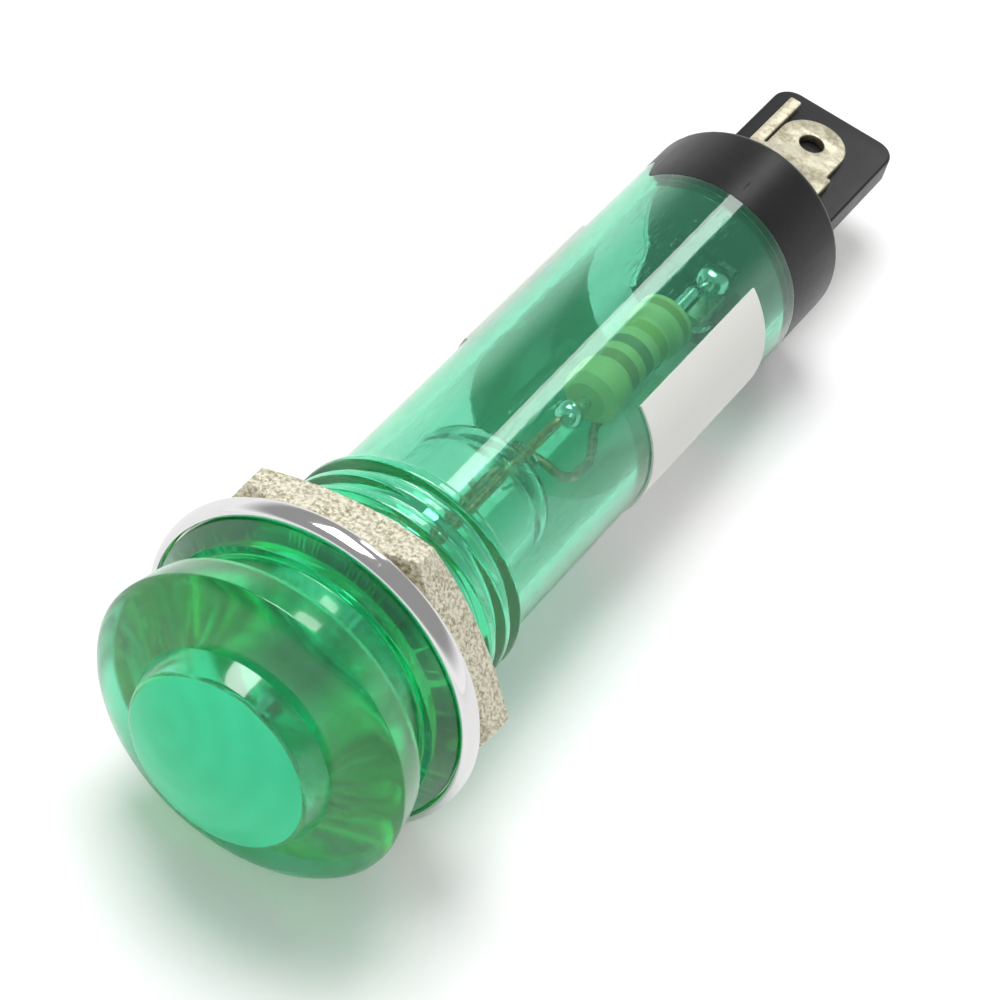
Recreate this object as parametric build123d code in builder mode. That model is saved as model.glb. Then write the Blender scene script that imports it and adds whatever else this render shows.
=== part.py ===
from build123d import *
import math
import os

# A panel pilot light for a 10 mm hole: a clear green lens barrel in one moulding,
# a bezel ring, a hex nut, a neon lamp with its series resistor, and a black end
# plug that carries two solder lugs on the faces of a barrier.
# Millimetres. The lamp lies along Y with its lens towards -Y. The origin is on the
# axis, in the plane where the bezel ring meets the panel. +Z is square to the barrier.

# Lens barrel: tube and threaded neck
tube_diameter = 9.0
bore_diameter = 7.4
barrel_length = 28.1
thread_diameter = 9.9
thread_root_diameter = 8.9
thread_length = 6.4
thread_pitch = 1.0
thread_crest_width = 0.2
thread_root_width = 0.15

# Lens barrel: the head in front of the panel
flange_thickness = 0.45
shoulder_diameter = 11.7
shoulder_length = 0.7
neck_diameter = 11.0
neck_length = 1.4
rim_diameter = 13.1
rim_back_diameter = 12.6
rim_thickness = 1.4
brow_bulge = 0.18
brow_height = 1.0
button_diameter = 8.2
button_top_diameter = 7.5
button_height = 1.0
crown_height = 1.0
button_edge_radius = 0.3
rim_edge_radius = 0.2
head_cavity_diameter = 6.6
lens_thickness = 1.4
cavity_front_diameter = 5.0
cavity_taper_length = 1.5

# Bezel ring
ring_diameter = 14.0
ring_thickness = 0.85
ring_floor = 0.4
ring_bore_diameter = 10.2
ring_lip_width = 0.4
ring_lip_gap = 0.1
ring_lip_flat = 0.08
ring_belly_height = 0.23
ring_back_round = 0.2

# Hex nut
nut_step = 0.75
nut_thickness = 2.0
nut_bore_diameter = 10.1
nut_chamfer_inset = 0.15
nut_chamfer_angle = 25.0
nut_countersink = 0.3
nut_turn = 19.5
nut_blank_room = 1.0

# Wrap-round label
label_end_gap = 2.7
label_length = 9.0
label_thickness = 0.1
label_glue = 0.01
label_start = 44.5
label_span = 243.0

# End plug with its cap and barrier
plug_clearance = 0.1
plug_depth = 5.3
plug_lead_in = 0.4
cap_thickness = 3.95
cap_edge_radius = 0.45
barrier_length = 8.45
barrier_width = 5.76
barrier_thickness = 1.2
barrier_corner_radius = 0.9
barrier_edge_radius = 0.12
pocket_front_wall = 1.2
pocket_length = 3.65
pocket_side_room = 0.4

# Solder lugs
lug_thickness = 0.4
lug_fit = 0.02
tail_width = 3.0
tail_reach = 2.5
base_length = 4.1
base_step = 0.25
base_corner_radius = 0.22
eyelet_radius = 1.5
eyelet_distance = 5.5
eyelet_hole_diameter = 1.1
finger_gap = 0.1
finger_width = 0.55
finger_length = 3.4

# Neon lamp
glass_diameter = 5.9
glass_wall = 0.45
glass_front = -3.4
glass_shoulder_radius = 1.6
lamp_turn = 30.0
pip_diameter = 0.9
pip_length = 0.6
pinch_width = 3.0
pinch_thickness = 1.3
pinch_edge_radius = 0.5
pinch_length = 0.9
electrode_diameter = 0.8
electrode_length = 7.0
electrode_spacing = 1.6
electrode_setback = 2.2
lead_diameter = 0.4
lead_seal_gap = 0.01
lead_bend_radius = 0.6

# Series resistor and the wiring between lamp and lugs
resistor_length = 6.5
resistor_end_diameter = 2.3
resistor_waist_diameter = 1.95
resistor_cap_length = 1.4
resistor_edge_radius = 0.35
resistor_lead_diameter = 0.5
resistor_x = 1.1
resistor_z = 2.0
resistor_end_room = 0.35
splice_end_room = 0.3
lead_rise = 1.65
wire_drop = 1.4
wire_drop_room = 0.3
wire_bend_radius = 0.4
wire_gap = 0.003
wire_end_room = 0.7
wire_hole_room = 0.1
pinch_clear = 0.35
splice_length = 1.0
splice_diameter = 1.1
splice_overlap = 1.1
splice_round = 0.45
splice_web = 0.05
sleeve_wall = 0.15
sleeve_gap = 0.03
sleeve_setback = 3.1
return_bow = 2.0
return_bow_depth = 0.9
return_bow_start = 0.95
return_bow_end = 3.6
return_kink_x = 0.1
return_kink_rise = 1.75
sleeve_end_room = 0.4
solder_radius = 0.68
solder_round = 0.54
wire_end_cover = 0.4

# The flange sits inside the ring's lip
lip_inside = ring_diameter / 2 - ring_lip_width
flange_diameter = 2 * (lip_inside - ring_lip_gap)

# The ring stands out past the nut's flats
nut_across_flats = ring_diameter - 2 * nut_step
nut_chamfer_diameter = nut_across_flats - 2 * nut_chamfer_inset

# Stations along the axis
flange_back = -ring_floor
flange_front = flange_back - flange_thickness
shoulder_front = flange_front - shoulder_length
rim_back = shoulder_front - neck_length
rim_front = rim_back - rim_thickness
button_root = rim_front - brow_height
button_edge = button_root - button_height
crown = button_edge - crown_height
cavity_front = crown + lens_thickness
plug_front = barrel_length - plug_depth
cap_back = barrel_length + cap_thickness
pocket_front = plug_front + pocket_front_wall
pocket_back = pocket_front + pocket_length
tail_front = pocket_back - tail_reach
eyelet_y = cap_back + eyelet_distance
resistor_back = plug_front - resistor_end_room
resistor_front = resistor_back - resistor_length
splice_end = resistor_front - splice_end_room
splice_start = splice_end - splice_overlap
pinch_back = splice_start - lead_rise
glass_back = pinch_back - pinch_length
sleeve_start = resistor_front + sleeve_setback

# Heights above the barrier's middle plane
lug_seat = barrier_thickness / 2
lug_top = lug_seat + lug_thickness
tail_wire_z = lug_top + resistor_lead_diameter / 2 + wire_gap
return_z = -(lug_top + lead_diameter / 2 + wire_gap)


def across(y):
    """The plane square to the axis at y, with its own x up (+Z) and its own y to +X."""
    return Plane(origin=(0, y, 0), x_dir=(0, 0, 1), z_dir=(0, 1, 0))


def facing(turn):
    """The barrier's middle plane, turned about the axis: 0 is the upper side, 180 the lower."""
    side = math.cos(math.radians(turn))
    return Plane(origin=(0, 0, 0), x_dir=(side, 0, 0), z_dir=(0, 0, side))


def circles(part, diameter, y):
    """The edges of a turned part that run round the axis at one diameter and station."""
    found = ShapeList()
    for edge in part.edges().filter_by(GeomType.CIRCLE):
        centred = math.hypot(edge.arc_center.X, edge.arc_center.Z) < 0.001
        if centred and abs(edge.radius - diameter / 2) < 0.001 and abs(edge.arc_center.Y - y) < 0.001:
            found.append(edge)
    return found


def thread_outline():
    """Radius and station of each corner of the neck's ridges, from the tube to the flange."""
    crest = thread_diameter / 2
    root = thread_root_diameter / 2
    flank = (thread_pitch - thread_crest_width - thread_root_width) / 2
    corners = [(tube_diameter / 2, thread_length)]
    station = thread_length
    while station - thread_pitch > 0:
        corners.append((crest, station - flank / 2))
        corners.append((crest, station - flank / 2 - thread_crest_width))
        corners.append((root, station - flank * 1.5 - thread_crest_width))
        corners.append((root, station - flank * 1.5 - thread_crest_width - thread_root_width))
        station -= thread_pitch
    corners.append((crest, station - flank / 2))
    corners.append((crest, flange_back))
    return corners


# The barrel is one clear moulding, closed in front by the button and open behind.
brow_middle = (
    (rim_diameter + button_diameter) / 4 + brow_bulge,
    (rim_front + button_root) / 2 - brow_bulge,
)
with BuildPart() as lens_barrel:
    with BuildSketch(Plane.XY):
        with BuildLine():
            outside = thread_outline()
            outside += [
                (flange_diameter / 2, flange_back),
                (flange_diameter / 2, flange_front),
                (shoulder_diameter / 2, shoulder_front),
                (neck_diameter / 2, shoulder_front),
                (neck_diameter / 2, rim_back),
                (rim_back_diameter / 2, rim_back),
                (rim_diameter / 2, rim_front),
            ]
            Polyline([(bore_diameter / 2, barrel_length), (tube_diameter / 2, barrel_length)] + outside)
            ThreePointArc(outside[-1], brow_middle, (button_diameter / 2, button_root))
            Line((button_diameter / 2, button_root), (button_top_diameter / 2, button_edge))
            TangentArc((0, crown), (button_top_diameter / 2, button_edge), tangent=(1, 0))
            Polyline(
                (0, crown),
                (0, cavity_front),
                (cavity_front_diameter / 2, cavity_front),
                (head_cavity_diameter / 2, cavity_front + cavity_taper_length),
                (head_cavity_diameter / 2, flange_back),
                (bore_diameter / 2, 0),
                (bore_diameter / 2, barrel_length),
            )
        make_face()
    revolve(axis=Axis.Y)
    fillet(circles(lens_barrel, button_top_diameter, button_edge), button_edge_radius)
    fillet(circles(lens_barrel, rim_diameter, rim_front), rim_edge_radius)
    fillet(circles(lens_barrel, cavity_front_diameter, cavity_front), cavity_taper_length / 3)
lens_barrel.part.label = "lens_barrel"

# The bezel ring is a pressed washer: a flat floor behind the flange and a round lip about it.
with BuildPart() as bezel_ring:
    with BuildSketch(Plane.XY):
        with BuildLine():
            lip_crest = (lip_inside + ring_lip_flat, -ring_thickness)
            belly = (ring_diameter / 2, -ring_belly_height)
            back_corner = (ring_diameter / 2 - ring_back_round, 0)
            TangentArc(belly, lip_crest, tangent=(0, -1))
            TangentArc(belly, back_corner, tangent=(0, 1))
            Polyline(
                back_corner,
                (ring_bore_diameter / 2, 0),
                (ring_bore_diameter / 2, -ring_floor),
                (lip_inside, -ring_floor),
                (lip_inside, -ring_thickness),
                lip_crest,
            )
        make_face()
    revolve(axis=Axis.Y)
bezel_ring.part.label = "bezel_ring"

# The nut is chamfered on both faces, so its corners are lower than its flats.
corner_radius = nut_across_flats / 2 / math.cos(math.radians(30))
chamfer_reach = corner_radius + nut_blank_room
chamfer_drop = (chamfer_reach - nut_chamfer_diameter / 2) * math.tan(math.radians(nut_chamfer_angle))
with BuildPart() as hex_nut:
    with BuildSketch(across(0)):
        RegularPolygon(nut_across_flats / 2, 6, major_radius=False, rotation=nut_turn)
    extrude(amount=nut_thickness)
    with BuildSketch(Plane.XY):
        with BuildLine():
            Polyline(
                (nut_bore_diameter / 2 + nut_countersink, 0),
                (nut_chamfer_diameter / 2, 0),
                (chamfer_reach, chamfer_drop),
                (chamfer_reach, nut_thickness - chamfer_drop),
                (nut_chamfer_diameter / 2, nut_thickness),
                (nut_bore_diameter / 2 + nut_countersink, nut_thickness),
                (nut_bore_diameter / 2, nut_thickness - nut_countersink),
                (nut_bore_diameter / 2, nut_countersink),
                close=True,
            )
        make_face()
    revolve(axis=Axis.Y, mode=Mode.INTERSECT)
hex_nut.part.label = "hex_nut"

# The label is a strip stuck round the under side of the tube.
label_front = barrel_length - label_end_gap - label_length
label_inside = tube_diameter / 2 + label_glue
with BuildPart() as label:
    with BuildSketch(across(label_front)):
        with BuildLine():
            inner = CenterArc((0, 0), label_inside, label_start, label_span)
            outer = CenterArc((0, 0), label_inside + label_thickness, label_start, label_span)
            Line(inner @ 0, outer @ 0)
            Line(inner @ 1, outer @ 1)
        make_face()
    extrude(amount=label_length)
label.part.label = "label"

# The end plug is pushed into the tube up to its cap. A barrier stands out behind it, and
# each side has a pocket for a soldered joint and a slot that the lug passes through.
plug_radius = bore_diameter / 2 - plug_clearance
with BuildPart() as end_plug:
    with BuildSketch(Plane.XY):
        with BuildLine():
            Polyline(
                (0, plug_front),
                (plug_radius - plug_lead_in, plug_front),
                (plug_radius, plug_front + plug_lead_in),
                (plug_radius, barrel_length),
                (tube_diameter / 2, barrel_length),
                (tube_diameter / 2, cap_back),
                (0, cap_back),
                close=True,
            )
        make_face()
    revolve(axis=Axis.Y)
    fillet(circles(end_plug, tube_diameter, cap_back), cap_edge_radius)
    with BuildSketch(Plane.XY.offset(-barrier_thickness / 2)):
        with Locations((0, cap_back + barrier_length / 2 - cap_edge_radius / 2)):
            Rectangle(barrier_width, barrier_length + cap_edge_radius)
    extrude(amount=barrier_thickness)
    barrier_corners = end_plug.edges().filter_by(Axis.Z).group_by(Axis.Y)[-1]
    fillet(barrier_corners, barrier_corner_radius)
    rear_edges = end_plug.faces().sort_by(Axis.Y)[-1].edges().filter_by(Axis.X)
    fillet(rear_edges, barrier_edge_radius)
    for turn in (0, 180):
        side = facing(turn)
        with BuildSketch(side.offset(lug_seat)):
            with Locations((0, (pocket_front + pocket_back) / 2)):
                Rectangle(tail_width + 2 * pocket_side_room, pocket_length)
        extrude(amount=plug_radius, mode=Mode.SUBTRACT)
        with BuildSketch(side.offset(lug_seat)):
            with Locations((0, (pocket_back + cap_back) / 2)):
                Rectangle(tail_width + 2 * lug_fit, cap_back - pocket_back)
        extrude(amount=lug_thickness + lug_fit, mode=Mode.SUBTRACT)
        wire_z = resistor_z if turn == 0 else return_z
        with BuildSketch(across(plug_front)):
            with Locations((wire_z, resistor_x)):
                Circle(resistor_lead_diameter / 2 + wire_hole_room)
        extrude(amount=pocket_front_wall, mode=Mode.SUBTRACT)
end_plug.part.label = "end_plug"

# Each lug is stamped from tinned strip: a tail in the plug, a broad base, an eyelet and,
# beside it, a finger that holds a wire. Both fingers stand on the barrier's left side.
base_left = eyelet_radius + finger_gap + finger_width
base_right = eyelet_radius + base_step
finger_x = -base_left + finger_width / 2
lugs = {}
for lug_name, turn, outward in (("upper_lug", 0, 1), ("lower_lug", 180, -1)):
    with BuildPart() as lug:
        with BuildSketch(facing(turn).offset(lug_seat)) as lug_outline:
            with Locations((0, (tail_front + cap_back) / 2)):
                Rectangle(tail_width, cap_back - tail_front)
            with Locations((outward * (base_right - base_left) / 2, cap_back + base_length / 2)):
                Rectangle(base_left + base_right, base_length)
            with Locations((0, (cap_back + eyelet_y) / 2)):
                Rectangle(2 * eyelet_radius, eyelet_distance)
            right_edge = -1 if outward == 1 else 0
            base_corner = lug_outline.vertices().group_by(Axis.X)[right_edge].sort_by(Axis.Y)[-1]
            fillet(base_corner, min(base_corner_radius, base_step * 0.9))
            with Locations((0, eyelet_y)):
                Circle(eyelet_radius)
            with Locations((outward * finger_x, cap_back + base_length + finger_length / 2)):
                Rectangle(finger_width, finger_length)
            with Locations((0, eyelet_y)):
                Circle(eyelet_hole_diameter / 2, mode=Mode.SUBTRACT)
        extrude(amount=lug_thickness)
    lug.part.label = lug_name
    lugs[lug_name] = lug

# The neon lamp: a glass tube, domed and pipped in front and pinched flat round its leads.
glass_radius = glass_diameter / 2
inside_radius = glass_radius - glass_wall
lead_radius = lead_diameter / 2
pip_radius = pip_diameter / 2
dome_centre = glass_front + glass_radius
pip_angle = math.degrees(math.asin(pip_radius / glass_radius))
pip_root = dome_centre - math.sqrt(glass_radius ** 2 - pip_radius ** 2)
shoulder_start = glass_back - glass_shoulder_radius
with BuildPart() as neon_glass:
    with BuildSketch(Plane.XY):
        with BuildLine():
            TangentArc((0, glass_front - pip_length), (pip_radius, pip_root), tangent=(1, 0))
            CenterArc((0, dome_centre), glass_radius, pip_angle - 90, 90 - pip_angle)
            Line((glass_radius, dome_centre), (glass_radius, shoulder_start))
            TangentArc(
                (glass_radius, shoulder_start),
                (glass_radius - glass_shoulder_radius, glass_back),
                tangent=(0, 1),
            )
            Polyline(
                (glass_radius - glass_shoulder_radius, glass_back),
                (0, glass_back),
                (0, glass_back - glass_wall),
                (inside_radius - glass_shoulder_radius, glass_back - glass_wall),
            )
            TangentArc(
                (inside_radius - glass_shoulder_radius, glass_back - glass_wall),
                (inside_radius, shoulder_start - glass_wall),
                tangent=(1, 0),
            )
            Line((inside_radius, shoulder_start - glass_wall), (inside_radius, dome_centre))
            CenterArc((0, dome_centre), inside_radius, -90, 90)
            Line((0, dome_centre - inside_radius), (0, glass_front - pip_length))
        make_face()
    revolve(axis=Axis.Y)
    with BuildSketch(across(glass_back - glass_wall / 2)):
        RectangleRounded(pinch_thickness, pinch_width, pinch_edge_radius, rotation=lamp_turn - 90)
    extrude(amount=pinch_length + glass_wall / 2)
    with BuildSketch(across(pinch_back)):
        with PolarLocations(electrode_spacing / 2, 2, start_angle=lamp_turn):
            Circle(lead_radius + lead_seal_gap)
    extrude(amount=-(pinch_length + 2 * glass_wall), mode=Mode.SUBTRACT)
neon_glass.part.label = "neon_glass"

# Two nickel electrodes stand side by side in the glass, which is turned a little in the tube.
seal_x = electrode_spacing / 2 * math.sin(math.radians(lamp_turn))
seal_z = electrode_spacing / 2 * math.cos(math.radians(lamp_turn))
electrode_front = glass_front + electrode_setback
electrode_back = electrode_front + electrode_length
electrodes = {}
for electrode_name, side in (("right_electrode", 1), ("left_electrode", -1)):
    with BuildPart() as electrode:
        with BuildSketch(across(electrode_front)):
            with Locations((side * seal_z, side * seal_x)):
                Circle(electrode_diameter / 2)
        extrude(amount=electrode_length)
        fillet(electrode.faces().sort_by(Axis.Y)[0].edges(), electrode_diameter / 4)
    electrode.part.label = electrode_name
    electrodes[electrode_name] = electrode

# The lamp's copper-coated leads. One joins the resistor, the other runs back to the lower lug.
beside = (resistor_lead_diameter + lead_diameter) / 2 + splice_web
splice_x = resistor_x - beside * math.cos(math.radians(45))
splice_z = resistor_z - beside * math.sin(math.radians(45))
splice_middle = (splice_start + splice_end) / 2
wire_end = pocket_back - wire_end_room
return_bow_y = pinch_back + return_kink_rise
lead_routes = {
    "resistor_side_lead": [
        (seal_x, electrode_back, seal_z),
        (seal_x, pinch_back + pinch_clear, seal_z),
        (splice_x, splice_start, splice_z),
        (splice_x, splice_end, splice_z),
    ],
    "return_lead": [
        (-seal_x, electrode_back, -seal_z),
        (-seal_x, pinch_back + pinch_clear, -seal_z),
        (return_kink_x, return_bow_y, -seal_z),
        (return_bow, return_bow_y, -return_bow_depth),
        (return_bow, return_bow_y + return_bow_start + return_bow_depth, return_z),
        (resistor_x, return_bow_y + return_bow_end, return_z),
        (resistor_x, wire_end, return_z),
    ],
}
leads = {}
for lead_name, route in lead_routes.items():
    with BuildPart() as lead:
        with BuildLine():
            path = FilletPolyline(*route, radius=lead_bend_radius)
        with BuildSketch(across(electrode_back)):
            with Locations((route[0][2], route[0][0])):
                Circle(lead_radius)
        sweep(path=path)
    lead.part.label = lead_name
    leads[lead_name] = lead

# The sleeve keeps the long return lead off the resistor.
sleeve_inside = lead_radius + sleeve_gap
with BuildPart() as return_sleeve:
    with BuildSketch(across(sleeve_start)):
        with Locations((return_z, resistor_x)):
            Circle(sleeve_inside + sleeve_wall)
            Circle(sleeve_inside, mode=Mode.SUBTRACT)
    extrude(amount=plug_front - sleeve_end_room - sleeve_start)
return_sleeve.part.label = "return_sleeve"

# The resistor: a coated body, thicker over its end caps, and a tinned lead at each end.
resistor_axis = Axis((resistor_x, 0, resistor_z), (0, 1, 0))
resistor_profile = Plane(origin=(resistor_x, 0, resistor_z), x_dir=(1, 0, 0), z_dir=(0, 0, 1))
end_radius = resistor_end_diameter / 2
waist_radius = resistor_waist_diameter / 2
with BuildPart() as resistor_body:
    with BuildSketch(resistor_profile):
        with BuildLine():
            Polyline(
                (0, resistor_front),
                (end_radius - resistor_edge_radius, resistor_front),
                (end_radius, resistor_front + resistor_edge_radius),
                (end_radius, resistor_front + resistor_cap_length),
                (waist_radius, resistor_front + resistor_cap_length + resistor_edge_radius),
                (waist_radius, resistor_back - resistor_cap_length - resistor_edge_radius),
                (end_radius, resistor_back - resistor_cap_length),
                (end_radius, resistor_back - resistor_edge_radius),
                (end_radius - resistor_edge_radius, resistor_back),
                (0, resistor_back),
                close=True,
            )
        make_face()
    revolve(axis=resistor_axis)
resistor_body.part.label = "resistor_body"

with BuildPart() as resistor_front_lead:
    with BuildSketch(across(splice_start)):
        with Locations((resistor_z, resistor_x)):
            Circle(resistor_lead_diameter / 2)
    extrude(amount=resistor_front - splice_start)
resistor_front_lead.part.label = "resistor_front_lead"

# The rear lead goes through the plug's front wall and steps down onto the lug.
drop_start = pocket_front + wire_drop_room
with BuildPart() as resistor_rear_lead:
    with BuildLine():
        rear_path = FilletPolyline(
            (resistor_x, resistor_back, resistor_z),
            (resistor_x, drop_start, resistor_z),
            (resistor_x, drop_start + wire_drop, tail_wire_z),
            (resistor_x, wire_end, tail_wire_z),
            radius=wire_bend_radius,
        )
    with BuildSketch(across(resistor_back)):
        with Locations((resistor_z, resistor_x)):
            Circle(resistor_lead_diameter / 2)
    sweep(path=rear_path)
resistor_rear_lead.part.label = "resistor_rear_lead"

# Solder joins the lamp's lead to the resistor's front lead, side by side.
with BuildPart() as splice_solder:
    with BuildSketch(across(splice_middle - splice_length / 2)):
        with Locations(((resistor_z + splice_z) / 2, (resistor_x + splice_x) / 2)):
            Circle(splice_diameter / 2)
    extrude(amount=splice_length)
    fillet(splice_solder.edges().filter_by(GeomType.CIRCLE), min(splice_round, splice_diameter * 0.45))
    add(resistor_front_lead.part, mode=Mode.SUBTRACT)
    add(leads["resistor_side_lead"].part, mode=Mode.SUBTRACT)
splice_solder.part.label = "splice_solder"

# A mound of solder on each lug's tail buries the end of its wire.
mounds = {}
for mound_name, turn, outward, wire in (
    ("upper_solder", 0, 1, resistor_rear_lead),
    ("lower_solder", 180, -1, leads["return_lead"]),
):
    side = facing(turn)
    with BuildPart() as mound:
        with BuildSketch(side.offset(lug_top)):
            with Locations((outward * resistor_x, wire_end - wire_end_cover)):
                Circle(solder_radius)
        extrude(amount=solder_radius)
        outermost = -1 if turn == 0 else 0
        top_face = mound.faces().sort_by(Axis.Z)[outermost]
        fillet(top_face.edges(), min(solder_round, solder_radius * 0.9))
        add(wire.part, mode=Mode.SUBTRACT)
    mound.part.label = mound_name
    mounds[mound_name] = mound

pieces = [lens_barrel, bezel_ring, hex_nut, label, end_plug, neon_glass]
pieces += list(lugs.values()) + list(electrodes.values()) + list(leads.values())
pieces += [return_sleeve, resistor_body, resistor_front_lead, resistor_rear_lead, splice_solder]
pieces += list(mounds.values())

os.makedirs("parts", exist_ok=True)
for piece in pieces:
    export_step(piece.part, "parts/" + piece.part.label + ".step")
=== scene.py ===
import bmesh
import bpy
import math
from mathutils import Matrix, Vector


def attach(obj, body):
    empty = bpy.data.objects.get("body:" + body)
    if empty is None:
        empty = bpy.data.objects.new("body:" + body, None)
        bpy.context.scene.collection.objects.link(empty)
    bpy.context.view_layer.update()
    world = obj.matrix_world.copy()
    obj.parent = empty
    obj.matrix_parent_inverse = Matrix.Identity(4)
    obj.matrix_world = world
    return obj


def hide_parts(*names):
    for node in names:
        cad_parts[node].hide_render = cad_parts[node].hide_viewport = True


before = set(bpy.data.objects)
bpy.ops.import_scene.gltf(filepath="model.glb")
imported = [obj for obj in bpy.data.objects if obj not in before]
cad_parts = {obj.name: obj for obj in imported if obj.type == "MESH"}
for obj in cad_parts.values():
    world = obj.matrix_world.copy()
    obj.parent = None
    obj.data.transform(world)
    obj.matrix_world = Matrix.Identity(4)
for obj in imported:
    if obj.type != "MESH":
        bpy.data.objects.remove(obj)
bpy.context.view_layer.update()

# Lens barrel. The button, mushroom head, flange, threaded neck and tube are one moulding in
# clear green plastic. It is turned here from its outline, and its thread is a true right-handed
# helix. Lengths are written in millimetres, and a station is a place along the lamp's axis.
mm = 0.001
around = 192
button_front = -7.35
button_radius = 3.75
crown_height = 1.0
crown_angle = 27.6
frosted_back = -6.42
root_radius, root_station = 4.1, -5.35
head_radius, head_rim, head_back = 6.5, -4.47, -2.95
groove_radius = 5.5
flange_radius = 6.5
flange_front, flange_back = -1.55, -0.4
thread_radius = 4.95
thread_pitch = 1.0
thread_back = 6.4
groove_station = 5.36
tube_radius = 4.5
bore_radius = 3.7
cavity_radius, cavity_front = 3.3, -5.95
barrel_end = 28.1
end_land = 27.9
tab_bearing = 268.0
tab_length = 1.8
tab_half_width = 46.0
tab_shoulder = 14.0


def round_corners(corners, steps=5):
    """A line through (radius, station, rounding) corners, each rounded by its own radius."""
    line = []
    for place, (x, y, rounding) in enumerate(corners):
        here = Vector((x, y))
        if rounding == 0 or place in (0, len(corners) - 1):
            line.append((x, y))
            continue
        before = (Vector(corners[place - 1][:2]) - here).normalized()
        after = (Vector(corners[place + 1][:2]) - here).normalized()
        half = before.angle(after) / 2
        start = here + before * rounding / math.tan(half)
        end = here + after * rounding / math.tan(half)
        for step in range(steps + 1):
            share = step / steps
            point = start * (1 - share) ** 2 + here * 2 * share * (1 - share) + end * share ** 2
            line.append((point.x, point.y))
    return line


def arc(width, height, middle, degrees):
    """Points of an elliptical arc about (radius, station), from the front of the lamp backwards."""
    turned = [math.radians(a) for a in degrees]
    return [(middle[0] + width * math.sin(a), middle[1] - height * math.cos(a)) for a in turned]


def solid(name, points, faces):
    """A closed mesh object with its doubled points merged and its faces turned outwards."""
    shape = bpy.data.meshes.new(name)
    shape.from_pydata(points, [], faces)
    work = bmesh.new()
    work.from_mesh(shape)
    bmesh.ops.remove_doubles(work, verts=work.verts, dist=0.002 * mm)
    bmesh.ops.dissolve_degenerate(work, edges=work.edges, dist=0.0005 * mm)
    bmesh.ops.recalc_face_normals(work, faces=work.faces)
    work.to_mesh(shape)
    work.free()
    piece = bpy.data.objects.new(name, shape)
    bpy.context.collection.objects.link(piece)
    return piece


def turn(name, line, segments, closed=False):
    """A mesh turned about the Y axis from (radius, station) points."""
    points, faces = [], []
    for radius, station in line:
        for step in range(segments):
            angle = math.tau * step / segments
            points.append((radius * math.sin(angle) * mm, station * mm, radius * math.cos(angle) * mm))
    for place in range(len(line) if closed else len(line) - 1):
        low = place * segments
        high = (place + 1) % len(line) * segments
        for step in range(segments):
            after = (step + 1) % segments
            faces.append((low + step, low + after, high + after, high + step))
    return solid(name, points, faces)


def finish(piece, angle, *materials):
    """A mesh's materials, and smooth shading that stays crisp at edges sharper than the angle."""
    piece.data.materials.clear()
    for material in materials:
        piece.data.materials.append(material)
    piece.data.shade_smooth()
    piece.data.set_sharp_from_angle(angle=math.radians(angle))


def figure(tree, operation, *values):
    """A math node on numbers or sockets, and its result."""
    made = tree.nodes.new("ShaderNodeMath")
    made.operation = operation
    for place, value in enumerate(values):
        if isinstance(value, bpy.types.NodeSocket):
            tree.links.new(value, made.inputs[place])
        else:
            made.inputs[place].default_value = value
    return made.outputs[0]


def add(tree, kind, **sockets):
    """A new node with its inputs set from numbers, colours or other nodes' sockets."""
    made = tree.nodes.new(kind)
    for label, value in sockets.items():
        socket = made.inputs[label.replace("_", " ")]
        if isinstance(value, bpy.types.NodeSocket):
            tree.links.new(value, socket)
        else:
            socket.default_value = value
    return made


def offer(group, way, kind, *labels):
    """Named inputs or outputs of one kind on a node group."""
    for label in labels:
        group.interface.new_socket(label, in_out=way, socket_type=kind)


# The thread tree cuts a helical groove into the wall between two stations, and leaves the rest.
thread_tree = bpy.data.node_groups.new("helical_thread", "GeometryNodeTree")
offer(thread_tree, "INPUT", "NodeSocketGeometry", "Geometry")
offer(thread_tree, "INPUT", "NodeSocketFloat", "Pitch", "Depth", "Crest Radius", "Groove Station",
        "Groove Width", "Start", "End", "Run Out", "Least Radius", "Most Radius")
offer(thread_tree, "INPUT", "NodeSocketMaterial", "Material")
offer(thread_tree, "OUTPUT", "NodeSocketGeometry", "Geometry")
size = thread_tree.nodes.new("NodeGroupInput").outputs
result = thread_tree.nodes.new("NodeGroupOutput")
here = thread_tree.nodes.new("GeometryNodeInputPosition")
x, y, z = add(thread_tree, "ShaderNodeSeparateXYZ", Vector=here.outputs[0]).outputs


def work_out(operation, *values):
    """A math node in the thread tree."""
    return figure(thread_tree, operation, *values)


radius = work_out("SQRT", work_out("ADD", work_out("MULTIPLY", x, x), work_out("MULTIPLY", z, z)))
turns = work_out("DIVIDE", work_out("SUBTRACT", y, size["Groove Station"]), size["Pitch"])
phase = work_out("SUBTRACT", turns, work_out("DIVIDE", work_out("ARCTAN2", x, z), math.tau))
groove = add(thread_tree, "ShaderNodeMapRange", Value=work_out("PINGPONG", phase, 0.5), From_Min=0.04,
             From_Max=size["Groove Width"], To_Min=1.0, To_Max=0.0)
fade_in = add(thread_tree, "ShaderNodeMapRange", Value=y, From_Min=size["Start"],
              From_Max=work_out("ADD", size["Start"], size["Run Out"]))
fade_out = add(thread_tree, "ShaderNodeMapRange", Value=y, To_Min=1.0, To_Max=0.0,
               From_Min=work_out("SUBTRACT", size["End"], size["Run Out"]), From_Max=size["End"])
for ramp in (groove, fade_in, fade_out):
    ramp.interpolation_type = "SMOOTHSTEP"
fades = work_out("MULTIPLY", fade_in.outputs[0], fade_out.outputs[0])
cut = work_out("MULTIPLY", work_out("MULTIPLY", groove.outputs[0], size["Depth"]), fades)
goal = work_out("MINIMUM", radius, work_out("SUBTRACT", size["Crest Radius"], cut))
on_wall = work_out("MULTIPLY", work_out("GREATER_THAN", radius, size["Least Radius"]),
                   work_out("LESS_THAN", radius, size["Most Radius"]))
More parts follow.
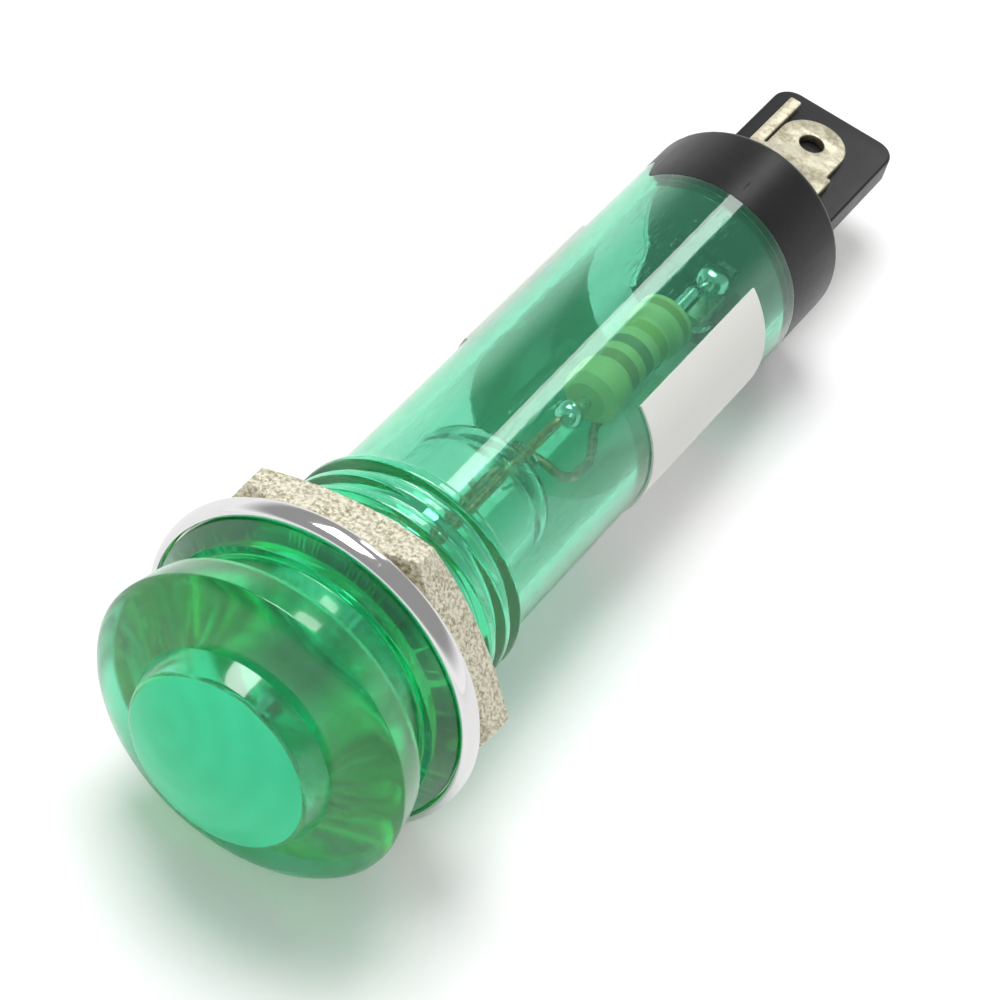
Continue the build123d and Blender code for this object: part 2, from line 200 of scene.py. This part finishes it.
in_run = work_out("MULTIPLY", work_out("GREATER_THAN", y, size["Start"]),
                  work_out("LESS_THAN", y, size["End"]))
change = work_out("MULTIPLY", work_out("SUBTRACT", goal, radius), work_out("MULTIPLY", on_wall, in_run))
scale = work_out("DIVIDE", change, radius)
shift = add(thread_tree, "ShaderNodeCombineXYZ", X=work_out("MULTIPLY", x, scale),
            Z=work_out("MULTIPLY", z, scale))
move = add(thread_tree, "GeometryNodeSetPosition", Geometry=size["Geometry"], Offset=shift.outputs[0])
real = add(thread_tree, "GeometryNodeRealizeInstances", Geometry=move.outputs[0])
paint = add(thread_tree, "GeometryNodeSetMaterial", Geometry=real.outputs[0], Material=size["Material"])
thread_tree.links.new(paint.outputs[0], result.inputs[0])


def made_mesh(piece):
    """The plain mesh that a piece's modifiers or curve make."""
    bpy.context.view_layer.update()
    return bpy.data.meshes.new_from_object(piece.evaluated_get(bpy.context.evaluated_depsgraph_get()))


def cut_thread(piece, **sizes):
    """Runs the thread tree on a piece and leaves the plain mesh that it makes."""
    worker = piece.modifiers.new("thread", "NODES")
    worker.node_group = thread_tree
    for item in thread_tree.interface.items_tree:
        if item.in_out == "INPUT" and item.name.replace(" ", "_") in sizes:
            worker[item.identifier] = sizes[item.name.replace(" ", "_")]
    made = made_mesh(piece)
    piece.modifiers.remove(worker)
    piece.data = made


# Moulding marks: a faint haze in the gloss, a slow waviness of the surface and fine scratches.
moulding = bpy.data.node_groups.new("moulding_marks", "ShaderNodeTree")
offer(moulding, "INPUT", "NodeSocketFloat", "Gloss", "Haze", "Size")
offer(moulding, "OUTPUT", "NodeSocketFloat", "Roughness", "Height")
given = moulding.nodes.new("NodeGroupInput").outputs
result = moulding.nodes.new("NodeGroupOutput")
spot = moulding.nodes.new("ShaderNodeTexCoord").outputs["Object"]
wave = add(moulding, "ShaderNodeTexNoise", Vector=spot, Scale=given["Size"], Detail=3.0, Roughness=0.55)
long_marks = add(moulding, "ShaderNodeMapping", Vector=spot, Rotation=(0.4, 0.9, 0.7),
                 Scale=(14000, 900, 9000))
scratch = add(moulding, "ShaderNodeTexNoise", Vector=long_marks.outputs[0], Scale=1.0, Detail=2.0,
              Roughness=0.6)
sharp = add(moulding, "ShaderNodeMapRange", Value=scratch.outputs[0], From_Min=0.63, From_Max=0.72)
rough = figure(moulding, "ADD", given["Gloss"], figure(moulding, "MULTIPLY", wave.outputs[0], given["Haze"]))
rough = figure(moulding, "ADD", rough, figure(moulding, "MULTIPLY", sharp.outputs[0], given["Haze"]))
height = figure(moulding, "SUBTRACT", wave.outputs[0], figure(moulding, "MULTIPLY", sharp.outputs[0], 0.15))
moulding.links.new(rough, result.inputs["Roughness"])
moulding.links.new(height, result.inputs["Height"])


def new_material(name, colour, **sockets):
    """A node material with its tree and Principled shader, and the shader's own plain values."""
    made = bpy.data.materials.new(name)
    made.use_nodes = True
    shader = made.node_tree.nodes["Principled BSDF"]
    shader.inputs["Base Color"].default_value = (*colour, 1)
    for label, value in sockets.items():
        shader.inputs[label.replace("_", " ")].default_value = value
    return made, made.node_tree, shader


def use_group(tree, group, **values):
    """A shared node group placed in a tree with its own values."""
    made = tree.nodes.new("ShaderNodeGroup")
    made.node_tree = group
    for label, value in values.items():
        made.inputs[label.replace("_", " ")].default_value = value
    return made


def emboss(tree, shader, height, distance):
    """Bump from a height socket, in metres, on a shader's normal."""
    bump = add(tree, "ShaderNodeBump", Strength=1.0, Distance=distance, Height=height)
    tree.links.new(bump.outputs[0], shader.inputs["Normal"])


def blend(tree, mask, first, second, shader):
    """A base colour that runs from one colour to another over a mask."""
    mixed = add(tree, "ShaderNodeMix")
    mixed.data_type = "RGBA"
    mixed.inputs[6].default_value = (*first, 1)
    mixed.inputs[7].default_value = (*second, 1)
    tree.links.new(mask, mixed.inputs[0])
    tree.links.new(mixed.outputs[2], shader.inputs["Base Color"])


def tint_green(tree):
    """The green dye takes red and some blue out of the light on its way through."""
    dye = add(tree, "ShaderNodeVolumeAbsorption", Color=(0.0, 0.965, 0.68, 1), Density=680.0)
    tree.links.new(dye.outputs[0], tree.nodes["Material Output"].inputs["Volume"])


def let_light_in(tree, shader, share, cloudy=0.0):
    """Lets a share of the lamps' light pass into a clear part, and clouds its inside with green."""
    path = tree.nodes.new("ShaderNodeLightPath")
    clear = tree.nodes.new("ShaderNodeBsdfTransparent")
    milk = add(tree, "ShaderNodeBsdfDiffuse", Color=(0.02, 0.70, 0.36, 1))
    body = add(tree, "ShaderNodeMixShader", Fac=cloudy)
    mixed = tree.nodes.new("ShaderNodeMixShader")
    tree.links.new(shader.outputs[0], body.inputs[1])
    tree.links.new(milk.outputs[0], body.inputs[2])
    tree.links.new(figure(tree, "MULTIPLY", path.outputs["Is Shadow Ray"], share), mixed.inputs[0])
    tree.links.new(body.outputs[0], mixed.inputs[1])
    tree.links.new(clear.outputs[0], mixed.inputs[2])
    tree.links.new(mixed.outputs[0], tree.nodes["Material Output"].inputs["Surface"])


green_plastic, tree, shader = new_material("clear_green_plastic", (1.0, 1.0, 1.0), Transmission_Weight=1.0,
                                           IOR=1.5, Coat_Weight=0.7, Coat_Roughness=0.02)
marks = use_group(tree, moulding, Gloss=0.01, Haze=0.02, Size=400.0)
spot = tree.nodes.new("ShaderNodeTexCoord").outputs["Object"]
station = add(tree, "ShaderNodeSeparateXYZ", Vector=spot).outputs[1]
in_tube = add(tree, "ShaderNodeMapRange", Value=station, From_Min=6.5 * mm, From_Max=8.0 * mm,
              To_Min=0.04, To_Max=1.0)
in_head = add(tree, "ShaderNodeMapRange", Value=station, From_Min=-1.0 * mm, From_Max=0.5 * mm,
              To_Min=0.12, To_Max=0.0)
rough = figure(tree, "ADD", marks.outputs["Roughness"], in_head.outputs[0])
tree.links.new(rough, shader.inputs["Roughness"])
emboss(tree, shader, figure(tree, "MULTIPLY", marks.outputs["Height"], in_tube.outputs[0]), 0.000012)
tint_green(tree)
let_light_in(tree, shader, 0.38, 0.08)

# The button's face is frosted in the mould, with faint swirls, so it glows evenly.
frosted_face, tree, shader = new_material("frosted_green_face", (1.0, 1.0, 1.0), Transmission_Weight=0.15,
                                          IOR=1.5, Coat_Weight=0.6, Coat_Roughness=0.05)
spot = tree.nodes.new("ShaderNodeTexCoord").outputs["Object"]
beside = add(tree, "ShaderNodeMapping", Vector=spot, Location=(0.0018, 0, -0.0012))
swirl = add(tree, "ShaderNodeTexWave", Vector=beside.outputs[0], Scale=260.0, Distortion=6.0, Detail=3.0,
            Detail_Scale=0.6)
swirl.wave_type = "RINGS"
swirl.rings_direction = "Y"
grain = add(tree, "ShaderNodeTexNoise", Vector=spot, Scale=350.0, Detail=3.0)
patch = figure(tree, "ADD", figure(tree, "MULTIPLY", swirl.outputs[1], 0.14),
               figure(tree, "MULTIPLY", grain.outputs[0], 0.86))
blend(tree, patch, (0.0, 0.66, 0.24), (0.05, 1.0, 0.50), shader)
rough = figure(tree, "ADD", figure(tree, "MULTIPLY", patch, 0.15), 0.3)
tree.links.new(rough, shader.inputs["Roughness"])
emboss(tree, shader, swirl.outputs[1], 0.000001)
tint_green(tree)
let_light_in(tree, shader, 0.5, 0.25)

crown_radius = (button_radius ** 2 + crown_height ** 2) / (2 * crown_height)
outline = arc(crown_radius, crown_radius, (0, button_front + crown_radius),
              [crown_angle * step / 16 for step in range(17)])
edge = round_corners([(*outline[-1], 0), (button_radius, button_front + crown_height, 0.3),
                      (root_radius, root_station, 0)])
outline = outline[:-1] + edge[1:]
slope = ((root_radius, root_station), (5.72, -5.33), (head_radius, head_rim))
for step in range(1, 13):
    share = step / 13
    weights = ((1 - share) ** 2, 2 * share * (1 - share), share ** 2)
    outline.append(tuple(sum(w * end[axis] for w, end in zip(weights, slope)) for axis in (0, 1)))
outline += round_corners([(head_radius, head_rim, 0), (6.55, -4.35, 0.15), (6.3, head_back, 0.12),
                          (groove_radius, head_back, 0.12), (groove_radius, flange_front, 0.12),
                          (5.85, flange_front, 0.1), (flange_radius, -0.85, 0.06),
                          (flange_radius, flange_back, 0.05), (thread_radius, flange_back, 0)])[1:]
rings = 84
thread_run = thread_back - 0.5 - flange_back
outline += [(thread_radius, flange_back + thread_run * step / rings) for step in range(1, rings)]
outline += round_corners([(thread_radius, thread_back - 0.48, 0), (thread_radius, thread_back - 0.4, 0.05),
                          (tube_radius, thread_back + 0.1, 0.06), (tube_radius, thread_back + 0.3, 0)])
tube_front = thread_back + 0.3
outline += [(tube_radius, tube_front + (end_land - tube_front) * step / 12) for step in range(1, 12)]
outline += round_corners([(tube_radius, end_land, 0), (tube_radius, barrel_end, 0.06),
                          (bore_radius, barrel_end, 0.06), (bore_radius, end_land, 0)])
outline += [(bore_radius, end_land * step / 12) for step in range(11, -1, -1)]
outline += round_corners([(bore_radius, 0.02, 0), (cavity_radius, flange_back, 0.1),
                          (cavity_radius, -4.45, 0.3), (2.5, cavity_front, 0.5), (0.0, cavity_front, 0)])
barrel = turn("lens_barrel_clear", outline, around)


def tab_reach(bearing):
    """How far the tube's end stands out at a bearing: one rounded tab on the left."""
    share = min(max((tab_half_width - abs(bearing - tab_bearing)) / tab_shoulder, 0.0), 1.0)
    return tab_length * share * share * (3 - 2 * share)


for point in barrel.data.vertices:
    if point.co.y > (barrel_end - 0.15) * mm:
        point.co.y += tab_reach(math.degrees(math.atan2(point.co.x, point.co.z)) % 360) * mm
cut_thread(barrel, Pitch=thread_pitch * mm, Depth=0.28 * mm, Crest_Radius=thread_radius * mm,
           Groove_Station=groove_station * mm, Groove_Width=0.36, Start=(flange_back + 0.01) * mm,
           End=thread_back * mm, Run_Out=0.01 * mm, Least_Radius=4.4 * mm, Most_Radius=5.0 * mm,
           Material=green_plastic)
finish(barrel, 35, green_plastic, frosted_face)
for face in barrel.data.polygons:
    if face.center.y < frosted_back * mm:
        face.material_index = 1
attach(barrel, "lamp")
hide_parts("lens_barrel")

# Bezel ring. A pressed brass washer, chrome plated, with a rolled lip that frames the flange.
# It slips over the neck and is held by the nut.


def moulded(name, colour, gloss, haze, scale, relief=0.0, **sockets):
    """A finish with the moulding marks in its gloss and, where it has relief, in its bump."""
    made, tree, shader = new_material(name, colour, **sockets)
    marks = use_group(tree, moulding, Gloss=gloss, Haze=haze, Size=scale)
    tree.links.new(marks.outputs["Roughness"], shader.inputs["Roughness"])
    if relief:
        emboss(tree, shader, marks.outputs["Height"], relief)
    return made, tree, shader


chrome = moulded("polished_chrome", (0.83, 0.82, 0.82), 0.04, 0.10, 350.0, 0.000004, Metallic=1.0)[0]
lip = round_corners([(5.1, 0, 0), (5.1, flange_back, 0.08), (6.6, flange_back, 0.06), (6.6, -0.85, 0.04),
                     (6.68, -0.85, 0)])
lip += arc(0.32, 0.62, (6.68, -0.23), [7.5 * step for step in range(1, 13)])
lip += arc(0.2, 0.23, (6.8, -0.23), [90 + 15 * step for step in range(1, 7)])
ring = turn("bezel_ring_chromed", lip, around, closed=True)
finish(ring, 35, chrome)
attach(ring, "ring")
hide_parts("bezel_ring")

# Hex nut. A thin brass panel nut, nickel plated over a coarse grain, chamfered on both faces
# and threaded like the neck. It clamps the panel against the ring.
metal_grain = bpy.data.node_groups.new("plated_grain", "ShaderNodeTree")
offer(metal_grain, "INPUT", "NodeSocketFloat", "Grain Size", "Pits", "Gloss")
offer(metal_grain, "OUTPUT", "NodeSocketFloat", "Mask", "Roughness", "Height")
given = metal_grain.nodes.new("NodeGroupInput").outputs
result = metal_grain.nodes.new("NodeGroupOutput")
spot = metal_grain.nodes.new("ShaderNodeTexCoord").outputs["Object"]
fine = add(metal_grain, "ShaderNodeTexNoise", Vector=spot, Scale=given["Grain Size"], Detail=6.0,
           Roughness=0.75)
broad = add(metal_grain, "ShaderNodeTexNoise", Vector=spot, Detail=3.0, Roughness=0.6,
            Scale=figure(metal_grain, "MULTIPLY", given["Grain Size"], 0.22))
speck = add(metal_grain, "ShaderNodeMapRange", Value=fine.outputs[0], From_Min=0.44, From_Max=0.60)
mask = figure(metal_grain, "MULTIPLY", speck.outputs[0], figure(metal_grain, "ADD", broad.outputs[0], 0.4))
mask = figure(metal_grain, "MULTIPLY", mask, given["Pits"])
rough = figure(metal_grain, "ADD", given["Gloss"], figure(metal_grain, "MULTIPLY", mask, 0.3))
metal_grain.links.new(mask, result.inputs["Mask"])
metal_grain.links.new(rough, result.inputs["Roughness"])
metal_grain.links.new(fine.outputs[0], result.inputs["Height"])


def plated(name, colour, dark, grain_size, pits, gloss, relief=0.0):
    """A metal with grain in its gloss, and in its colour and bump where it has a dark tone and relief."""
    made, tree, shader = new_material(name, colour, Metallic=1.0)
    grain = use_group(tree, metal_grain, Grain_Size=grain_size, Pits=pits, Gloss=gloss)
    tree.links.new(grain.outputs["Roughness"], shader.inputs["Roughness"])
    if dark:
        blend(tree, grain.outputs["Mask"], colour, dark, shader)
    if relief:
        emboss(tree, shader, grain.outputs["Height"], relief)
    return made


def sweep(name, bearings, section, looped=False):
    """A closed mesh from a section's (radius, station) points at each bearing, in degrees."""
    points, faces = [], []
    for bearing in bearings:
        angle = math.radians(bearing)
        points += [(r * math.sin(angle) * mm, s * mm, r * math.cos(angle) * mm) for r, s in section(bearing)]
    tall = len(points) // len(bearings)
    for step in range(len(bearings) if looped else len(bearings) - 1):
        here, after = step * tall, (step + 1) % len(bearings) * tall
        for place in range(tall):
            following = (place + 1) % tall
            faces.append((here + place, here + following, after + following, after + place))
    if not looped:
        faces += [tuple(range(tall)), tuple(range(len(points) - tall, len(points)))]
    return solid(name, points, faces)


nut_flats = 12.5
nut_thickness = 2.0
nut_bore = 5.05
nut_corner = 19.5
nut_countersink, nut_lead = 5.35, 0.3
chamfer_start = 6.1
chamfer_slope = math.tan(math.radians(25))


def nut_section(bearing):
    """The nut's section at a bearing: its two chamfered faces, its flat and its bore."""
    off_flat = (bearing - nut_corner) % 60 - 30
    reach = nut_flats / 2 / math.cos(math.radians(off_flat))
    drop = (reach - chamfer_start) * chamfer_slope
    section = [(nut_countersink, 0), (5.7, 0), (chamfer_start, 0), (reach, drop)]
    section += [(reach, drop + (nut_thickness - 2 * drop) * share) for share in (0.34, 0.66)]
    section += [(reach, nut_thickness - drop), (chamfer_start, nut_thickness), (5.7, nut_thickness),
                (nut_countersink, nut_thickness)]
    threaded = nut_thickness - 2 * nut_lead
    return section + [(nut_bore, nut_lead + threaded * (18 - step) / 18) for step in range(19)]


nickel = plated("grainy_nickel", (0.95, 0.92, 0.76), (0.40, 0.35, 0.20), 6200.0, 1.0, 0.30, 0.00007)
nut = sweep("hex_nut_plated", [nut_corner + 1.5 * step for step in range(240)], nut_section, looped=True)
cut_thread(nut, Pitch=thread_pitch * mm, Depth=0.34 * mm, Crest_Radius=nut_bore * mm,
           Groove_Station=groove_station * mm, Groove_Width=0.22, Start=0.28 * mm, End=1.72 * mm,
           Run_Out=0.25 * mm, Least_Radius=5.0 * mm, Most_Radius=5.1 * mm, Material=nickel)
soften = nut.modifiers.new("soften", "BEVEL")
soften.width = 0.06 * mm
soften.segments = 2
soften.limit_method = "ANGLE"
soften.angle_limit = math.radians(19)
finish(nut, 30, nickel)
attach(nut, "nut")
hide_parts("hex_nut")

# Label. A strip of white film wrapped round the tube, stuck by its gummed back, which shows dark green
# through the wall.
# The back is coloured greyer than the film: partly the gum's own tone, partly painted shade for the dim
# inside of the tube.
label_start, label_turn = 44.5, 243.0
label_front, label_back = 16.4, 25.4
film_inside, film_outside = 4.51, 4.61
film = moulded("white_film", (0.84, 0.84, 0.80), 0.45, 0.15, 900.0, 0.00002)[0]
# Painted shade: the back is greyer than the film, partly the gum's tone and partly the shade inside the tube.
gum_and_shade = moulded("gummed_back", (0.72, 0.74, 0.70), 0.6, 0.1, 900.0)[0]
strip_section = [(film_inside, label_front), (film_outside, label_front), (film_outside, label_back),
                 (film_inside, label_back)]
strip = sweep("label_strip", [label_start + label_turn * step / 120 for step in range(121)],
              lambda bearing: strip_section)
finish(strip, 30, film, gum_and_shade)
for face in strip.data.polygons:
    outward = Vector((face.center.x, 0, face.center.z))
    if face.normal.dot(outward.normalized()) < -0.5:
        face.material_index = 1
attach(strip, "lamp")
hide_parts("label")

# End plug. A black moulding pushed into the tube: a short register, the cap and the barrier
# between the lugs, with a notch in the cap for the tab on the tube's end.
black = moulded("black_moulding", (0.010, 0.010, 0.011), 0.28, 0.12, 700.0, 0.000012,
                Specular_IOR_Level=0.3)[0]
plug_face = 27.9
notch_flat, notch_front, notch_gap = 2.4, 27.5, 0.03
notch_inside, notch_outside = 3.6, 5.2


def carve(piece, cutter, way="DIFFERENCE"):
    """Cuts one closed mesh out of another, or joins the two, and removes the second."""
    knife = piece.modifiers.new("cut", "BOOLEAN")
    knife.operation = way
    knife.solver = "EXACT"
    knife.object = cutter
    made = made_mesh(piece)
    piece.modifiers.remove(knife)
    piece.data = made
    bpy.data.objects.remove(cutter)


def notch_section(bearing):
    """The notch's section at a bearing: from a flat beside the axis outwards, just past the tab."""
    near = min(notch_flat / abs(math.sin(math.radians(bearing))), notch_inside)
    top = barrel_end + tab_reach(bearing) + notch_gap
    return [(near, notch_front), (notch_outside, notch_front), (notch_outside, top), (near, top)]


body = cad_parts["end_plug"].data
plug = solid("end_plug_shallow", [point.co for point in body.vertices],
             [tuple(face.vertices) for face in body.polygons])
carve(plug, turn("plug_front_cut", [(0, 20), (4.6, 20), (4.6, plug_face), (0, plug_face)], 96))
carve(plug, sweep("tab_notch_cut", [tab_bearing + step for step in range(-47, 48)], notch_section))
finish(plug, 40, black)
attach(plug, "lamp")
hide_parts("end_plug")

# Solder lugs. Two lugs stamped from brass strip and tinned, one on each face of the barrier,
# each with an eyelet, a finger and a narrow tail inside the tube.
tinned = plated("tinned_brass", (0.74, 0.70, 0.54), (0.34, 0.30, 0.20), 1500.0, 0.8, 0.28, 0.00006)
lug_middle = 0.8
lug_half_thickness = 0.2
lug_bevel = 0.05
eyelet_station, eyelet_radius, eyelet_hole = 37.55, 1.5, 0.55
base_front, base_back = 32.06, 36.15
tail_front, tail_back = 25.9, 29.5
finger_end = 39.55
left_side = [(-1.5, tail_back, 0), (-1.5, base_front, 0), (-2.15, base_front, 0), (-2.15, finger_end, 0.12),
             (-1.6, finger_end, 0.12), (-1.6, base_back, 0.04), (-1.5, base_back, 0.04),
             (-1.5, eyelet_station, 0)]
right_side = [(1.5, eyelet_station, 0), (1.5, base_back, 0.1), (1.75, base_back, 0.12),
              (1.75, base_front, 0.0), (1.5, base_front, 0), (1.5, tail_back, 0), (1.45, tail_back, 0),
              (1.45, tail_front, 0), (0.75, tail_front, 0), (0.75, tail_back, 0)]
top = [(x, 2 * eyelet_station - y) for x, y in
       arc(eyelet_radius, eyelet_radius, (0, eyelet_station), range(-84, 90, 6))]
lug_outline = round_corners(left_side, 4) + top + round_corners(right_side, 4)
hole = arc(eyelet_hole, eyelet_hole, (0, eyelet_station), range(90, 450, 9))
for node, middle in (("upper_lug", lug_middle), ("lower_lug", -lug_middle)):
    sheet = bpy.data.curves.new(node + "_outline", "CURVE")
    sheet.dimensions = "2D"
    sheet.fill_mode = "BOTH"
    sheet.extrude = (lug_half_thickness - lug_bevel) * mm
    sheet.bevel_depth = lug_bevel * mm
    sheet.bevel_resolution = 1
    sheet.offset = -lug_bevel * mm
    for path in (lug_outline, hole):
        line = sheet.splines.new("POLY")
        line.points.add(len(path) - 1)
        for step, (x, y) in enumerate(path):
            line.points[step].co = (x * mm, y * mm, 0, 1)
        line.use_cyclic_u = True
    pattern = bpy.data.objects.new(node + "_pattern", sheet)
    bpy.context.collection.objects.link(pattern)
    stamped = made_mesh(pattern)
    bpy.data.objects.remove(pattern)
    lug = solid(node + "_stamped",
                [(point.co.x, point.co.y, point.co.z + middle * mm) for point in stamped.vertices],
                [tuple(face.vertices) for face in stamped.polygons])
    finish(lug, 50, tinned)
    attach(lug, "lamp")
    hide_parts(node)

# Neon lamp. A clear glass capsule with two nickel electrodes, pinched where its leads leave.
# It stands in the cavity of the head, on its leads.
glass_front, glass_back = -3.4, 12.0
glass_radius = 2.95
glass_wall = 0.45
glass_shoulder = 1.6
dome_station = glass_front + glass_radius
pip_radius, pip_length = 0.45, 0.6
pinch_half_width, pinch_half_depth, pinch_length = 1.5, 0.65, 0.9
lamp_turn = math.radians(30)
glass, tree, shader = moulded("lamp_glass", (0.98, 1.0, 0.99), 0.0, 0.02, 400.0, Transmission_Weight=1.0,
                              IOR=1.5)
let_light_in(tree, shader, 0.9)


def capsule(radius, back):
    """One skin of the glass: a round dome in front, a straight wall and a rounded shoulder behind."""
    shoulder = back - glass_shoulder
    line = arc(radius, radius, (0, dome_station), range(0, 90, 3))
    line += [(radius, dome_station + (shoulder - dome_station) * step / 6) for step in range(7)]
    line += arc(glass_shoulder, glass_shoulder, (radius - glass_shoulder, shoulder), range(96, 186, 6))
    return line + [(0, back)]


lamp = turn("neon_glass_clear", capsule(glass_radius, glass_back), 96)
pip = arc(pip_radius, pip_length, (0, glass_front), range(0, 91, 10))
carve(lamp, turn("pip", pip + [(pip_radius, -3.1), (0, -3.1)], 48), "UNION")
a, b = pinch_half_width, pinch_half_depth
pinch = round_corners([(0, b, 0), (a, b, 0.5), (a, -b, 0.5), (-a, -b, 0.5), (-a, b, 0.5), (0.001, b, 0)], 6)
rim = [(a * math.sin(lamp_turn) + b * math.cos(lamp_turn), a * math.cos(lamp_turn) - b * math.sin(lamp_turn))
       for a, b in pinch]
points = [(x * mm, y * mm, z * mm) for y in (glass_back - 0.2, glass_back + pinch_length) for x, z in rim]
count = len(rim)
faces = [tuple(range(count)), tuple(range(count, 2 * count))]
faces += [(step, (step + 1) % count, (step + 1) % count + count, step + count) for step in range(count)]
carve(lamp, solid("pinch", points, faces), "UNION")
carve(lamp, turn("inside", capsule(glass_radius - glass_wall, glass_back - glass_wall), 96))
finish(lamp, 40, glass)
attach(lamp, "lamp")
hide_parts("neon_glass")


def dress(material, *nodes):
    """CAD nodes keep their shapes and get their finish."""
    for node in nodes:
        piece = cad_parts[node]
        piece.data.materials.clear()
        piece.data.materials.append(material)


electrode = plated("electrode_nickel", (0.60, 0.58, 0.55), None, 3000.0, 0.6, 0.25)
dress(electrode, "right_electrode", "left_electrode")

# Wiring. Copper-coated leads, a sleeve, the series resistor with its tinned leads, and the
# solder on the lugs and on the splice.
copper = plated("copper_lead", (0.75, 0.33, 0.20), (0.30, 0.12, 0.07), 3000.0, 0.8, 0.3)
dress(copper, "resistor_side_lead", "return_lead")
dress(moulded("sleeve_plastic", (0.75, 0.75, 0.70), 0.4, 0.1, 900.0)[0], "return_sleeve")
dress(plated("tinned_wire", (0.80, 0.79, 0.76), None, 3000.0, 0.6, 0.22),
      "resistor_front_lead", "resistor_rear_lead")
dress(plated("solder", (0.85, 0.85, 0.84), None, 1800.0, 0.5, 0.12),
      "splice_solder", "upper_solder", "lower_solder")

# The resistor's coloured bands are painted at set shares of its length.
resistor_front, resistor_back = 15.95, 22.45
coat_colour = (0.86, 0.66, 0.30)
band_colours = [(0.27, 0.36, (0.52, 0.30, 0.12)), (0.44, 0.53, (0.34, 0.24, 0.12)),
                (0.61, 0.70, (0.62, 0.45, 0.10)), (0.84, 0.91, (0.55, 0.36, 0.10))]
coat, tree, shader = moulded("resistor_coat", coat_colour, 0.35, 0.1, 900.0, 0.00005)
spot = tree.nodes.new("ShaderNodeTexCoord").outputs["Object"]
station = add(tree, "ShaderNodeSeparateXYZ", Vector=spot).outputs[1]
along = add(tree, "ShaderNodeMapRange", Value=station, From_Min=resistor_front * mm,
            From_Max=resistor_back * mm)
bands = add(tree, "ShaderNodeValToRGB", Fac=along.outputs[0])
bands.color_ramp.interpolation = "CONSTANT"
stops = bands.color_ramp.elements
stops[0].color = (*coat_colour, 1)
for start, end, colour in band_colours:
    stops.new(start).color = (*colour, 1)
    stops.new(end).color = (*coat_colour, 1)
stops.remove(stops[-1])
tree.links.new(bands.outputs[0], shader.inputs["Base Color"])
dress(coat, "resistor_body")

# Table, light and camera. The lamp lies on a white table, on its ring and the rim of its cap,
# under soft studio light.
rest_front = Vector((0, -0.2, -7.0)) * mm
rest_back = Vector((0, 31.75, -4.5)) * mm
table_half = 1.5
along = (rest_back - rest_front).normalized() * table_half
across = Vector((table_half, 0, 0))
middle = (rest_front + rest_back) / 2
shape = bpy.data.meshes.new("table_top")
corners = (middle - along - across, middle - along + across, middle + along + across, middle + along - across)
shape.from_pydata([tuple(corner) for corner in corners], [], [(0, 1, 2, 3)])
table = bpy.data.objects.new("table_top", shape)
bpy.context.collection.objects.link(table)
white, tree, shader = moulded("white_table", (0.95, 0.95, 0.95), 0.45, 0.05, 300.0)
sight = tree.nodes.new("ShaderNodeLightPath").outputs["Is Camera Ray"]
glow = add(tree, "ShaderNodeEmission", Color=(1, 1, 1, 1), Strength=figure(tree, "MULTIPLY", sight, 0.12))
both = tree.nodes.new("ShaderNodeAddShader")
tree.links.new(shader.outputs[0], both.inputs[0])
tree.links.new(glow.outputs[0], both.inputs[1])
tree.links.new(both.outputs[0], tree.nodes["Material Output"].inputs["Surface"])
table.data.materials.append(white)

world = bpy.data.worlds.new("studio")
bpy.context.scene.world = world
world.use_nodes = True
tree = world.node_tree
backdrop = tree.nodes["Background"]
spot = tree.nodes.new("ShaderNodeTexCoord").outputs["Generated"]
height = add(tree, "ShaderNodeSeparateXYZ", Vector=spot).outputs[2]
level = add(tree, "ShaderNodeMapRange", Value=height, From_Min=0.12, From_Max=0.5, To_Min=1.0, To_Max=0.34)
level.interpolation_type = "SMOOTHSTEP"
backdrop.inputs["Color"].default_value = (1, 1, 1, 1)
tree.links.new(level.outputs[0], backdrop.inputs["Strength"])


def lamp_at(name, direction, distance, width, length, power):
    """A rectangular light that faces the middle of the lamp."""
    light = bpy.data.lights.new(name, "AREA")
    light.shape = "RECTANGLE"
    light.size = width
    light.size_y = length
    light.energy = power
    made = bpy.data.objects.new(name, light)
    bpy.context.collection.objects.link(made)
    aim = Vector(direction).normalized()
    made.location = Vector((0, 0.015, 0)) + aim * distance
    made.rotation_euler = aim.to_track_quat("Z", "Y").to_euler()


lamp_at("strip_light", (-0.06, 0.72, 0.69), 1.2, 0.24, 0.50, 1.7)
lamp_at("soft_light", (-0.28, 0.12, 0.95), 1.6, 0.8, 0.8, 17.0)

camera = bpy.data.objects.new("camera", bpy.data.cameras.new("camera"))
bpy.context.collection.objects.link(camera)
camera.data.lens = 135.26
camera.data.sensor_width = 36.0
camera.data.clip_start = 0.005
right = Vector((0.8224, 0.5211, 0.2283))
up = Vector((-0.5237, 0.5365, 0.6617))
back = Vector((0.2224, -0.6638, 0.7141))
facing = Matrix((right, up, back)).transposed()
camera.matrix_world = Matrix.Translation(Vector((32.44, -83.09, 101.66)) * mm) @ facing.to_4x4()
scene = bpy.context.scene
scene.camera = camera
scene.view_settings.view_transform = "Standard"
# Light that is caught in the clear wall is followed until it leaves.
scene.cycles.max_bounces = 32
scene.cycles.glossy_bounces = 32
scene.cycles.transmission_bounces = 32
scene.cycles.transparent_max_bounces = 32
